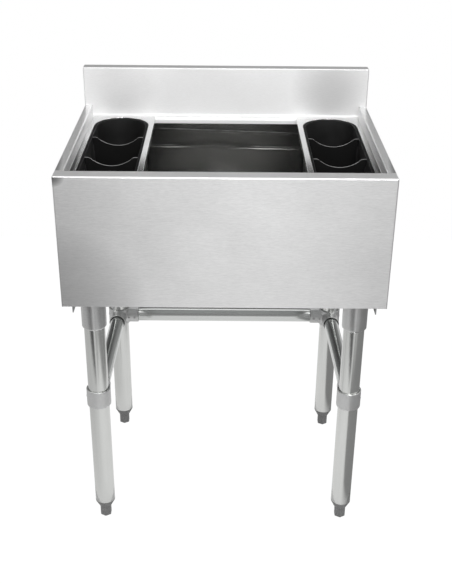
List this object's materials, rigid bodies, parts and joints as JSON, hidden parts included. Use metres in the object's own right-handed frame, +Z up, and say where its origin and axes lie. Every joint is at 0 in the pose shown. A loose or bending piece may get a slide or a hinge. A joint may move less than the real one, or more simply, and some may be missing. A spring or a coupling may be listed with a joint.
{
  "type": "underbar ice bin",
  "caption": "Free-standing stainless steel ice bin with a boxed backsplash, sliding bottle holders with lift-out divided tubs, and tubular legs with stretchers and levelling feet.",
  "frame": {"origin": "on the floor, under the middle of the bin", "axes": "+Z up, +X to the right of a person who faces the bin, front toward -Y"},
  "size_m": [0.61, 0.47, 0.882],
  "materials": {
    "brushed_skin": "satin",
    "bright_sheet": "gloss",
    "tank_liner": "satin",
    "foam": "matte",
    "galvanised_sheet": "satin",
    "leg_tube": "gloss",
    "cast_metal": "satin",
    "fastener_steel": "satin",
    "foot_plastic": "matte",
    "insert_plastic": "matte",
    "black_plastic": "satin",
    "drain_plastic": "satin",
    "gasket_rubber": "matte"
  },
  "bodies": {
    "bin": {"front_panel": "brushed_skin", "left_side_panel": "brushed_skin", "right_side_panel": "brushed_skin", "backsplash": "brushed_skin", "ledge_frame": "bright_sheet", "ice_tank": "tank_liner", "foam_insulation": "foam", "bottom_pan": "galvanised_sheet", "left_leg_channel": "galvanised_sheet", "right_leg_channel": "galvanised_sheet", "socket_bolts": "fastener_steel", "socket_nuts": "fastener_steel", "set_screws": "fastener_steel", "left_stretcher": "leg_tube", "right_stretcher": "leg_tube", "rear_stretcher": "leg_tube", "drain_body": "drain_plastic", "drain_gasket": "gasket_rubber", "drain_locknut": "drain_plastic", "front_left_leg": "leg_tube", "front_left_leg_socket": "cast_metal", "front_left_leg_insert": "insert_plastic", "front_left_collar": "cast_metal", "front_right_leg": "leg_tube", "front_right_leg_socket": "cast_metal", "front_right_leg_insert": "insert_plastic", "front_right_collar": "cast_metal", "rear_left_leg": "leg_tube", "rear_left_leg_socket": "cast_metal", "rear_left_leg_insert": "insert_plastic", "rear_left_fitting": "cast_metal", "rear_right_leg": "leg_tube", "rear_right_leg_socket": "cast_metal", "rear_right_leg_insert": "insert_plastic", "rear_right_fitting": "cast_metal"},
    "left_holder": {"left_holder_plate": "bright_sheet"},
    "left_tub": {"left_bottle_tub": "black_plastic"},
    "left_front_divider": {"left_front_divider": "black_plastic"},
    "left_rear_divider": {"left_rear_divider": "black_plastic"},
    "right_holder": {"right_holder_plate": "bright_sheet"},
    "right_tub": {"right_bottle_tub": "black_plastic"},
    "right_front_divider": {"right_front_divider": "black_plastic"},
    "right_rear_divider": {"right_rear_divider": "black_plastic"},
    "front_left_foot": {"front_left_foot": "foot_plastic", "front_left_foot_stud": "fastener_steel"},
    "front_right_foot": {"front_right_foot": "foot_plastic", "front_right_foot_stud": "fastener_steel"},
    "rear_left_foot": {"rear_left_foot": "foot_plastic", "rear_left_foot_stud": "fastener_steel"},
    "rear_right_foot": {"rear_right_foot": "foot_plastic", "rear_right_foot_stud": "fastener_steel"},
    "strainer": {"drain_strainer": "bright_sheet"}
  },
  "joints": [
    {"name": "left_holder_slide", "type": "slide", "parent": "bin", "child": "left_holder", "axis": [1, 0, 0], "range_m": [0, 0.15]},
    {"name": "left_tub_lift", "type": "slide", "parent": "left_holder", "child": "left_tub", "axis": [0, 0, 1], "range_m": [0, 0.18]},
    {"name": "left_front_divider_lift", "type": "slide", "parent": "left_tub", "child": "left_front_divider", "axis": [0, 0, 1], "range_m": [0, 0.17]},
    {"name": "left_rear_divider_lift", "type": "slide", "parent": "left_tub", "child": "left_rear_divider", "axis": [0, 0, 1], "range_m": [0, 0.17]},
    {"name": "right_holder_slide", "type": "slide", "parent": "bin", "child": "right_holder", "axis": [-1, 0, 0], "range_m": [0, 0.15]},
    {"name": "right_tub_lift", "type": "slide", "parent": "right_holder", "child": "right_tub", "axis": [0, 0, 1], "range_m": [0, 0.18]},
    {"name": "right_front_divider_lift", "type": "slide", "parent": "right_tub", "child": "right_front_divider", "axis": [0, 0, 1], "range_m": [0, 0.17]},
    {"name": "right_rear_divider_lift", "type": "slide", "parent": "right_tub", "child": "right_rear_divider", "axis": [0, 0, 1], "range_m": [0, 0.17]},
    {"name": "front_left_foot_screw", "type": "slide", "parent": "bin", "child": "front_left_foot", "axis": [0, 0, 1], "range_m": [-0.025, 0]},
    {"name": "front_right_foot_screw", "type": "slide", "parent": "bin", "child": "front_right_foot", "axis": [0, 0, 1], "range_m": [-0.025, 0]},
    {"name": "rear_left_foot_screw", "type": "slide", "parent": "bin", "child": "rear_left_foot", "axis": [0, 0, 1], "range_m": [-0.025, 0]},
    {"name": "rear_right_foot_screw", "type": "slide", "parent": "bin", "child": "rear_right_foot", "axis": [0, 0, 1], "range_m": [-0.025, 0]},
    {"name": "strainer_lift", "type": "slide", "parent": "bin", "child": "strainer", "axis": [0, 0, 1], "range_m": [0, 0.02]}
  ]
}
